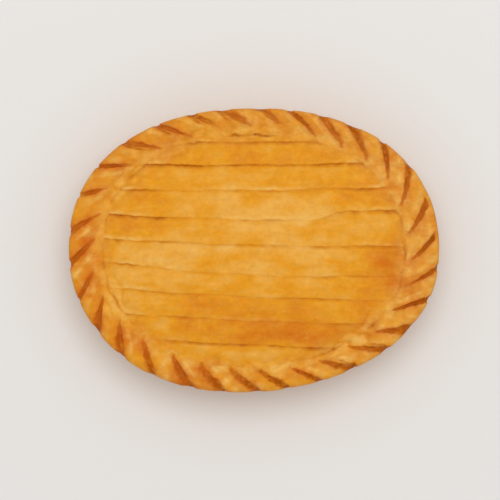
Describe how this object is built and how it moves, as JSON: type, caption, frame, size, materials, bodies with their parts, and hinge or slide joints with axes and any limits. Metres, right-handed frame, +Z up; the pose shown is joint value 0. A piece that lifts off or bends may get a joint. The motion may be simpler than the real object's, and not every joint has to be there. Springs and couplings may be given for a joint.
{
  "type": "steak and kidney pie",
  "caption": "Oval baked meat pie with a low domed lid of overlapping pastry strips, a crimped rim of slanting folds, sloping sides and a flat base.",
  "frame": {"origin": "on the table, under the middle of the pie's outline", "axes": "+X along the pie's length, +Y across it towards the side that is uppermost in the picture, +Z up through the lid"},
  "size_m": [0.24, 0.184, 0.0534],
  "materials": {
    "pastry": "shortcrust pastry, egg-washed and baked golden brown, soft sheen"
  },
  "bodies": {
    "root": {"pie": "pastry"}
  },
  "joints": []
}
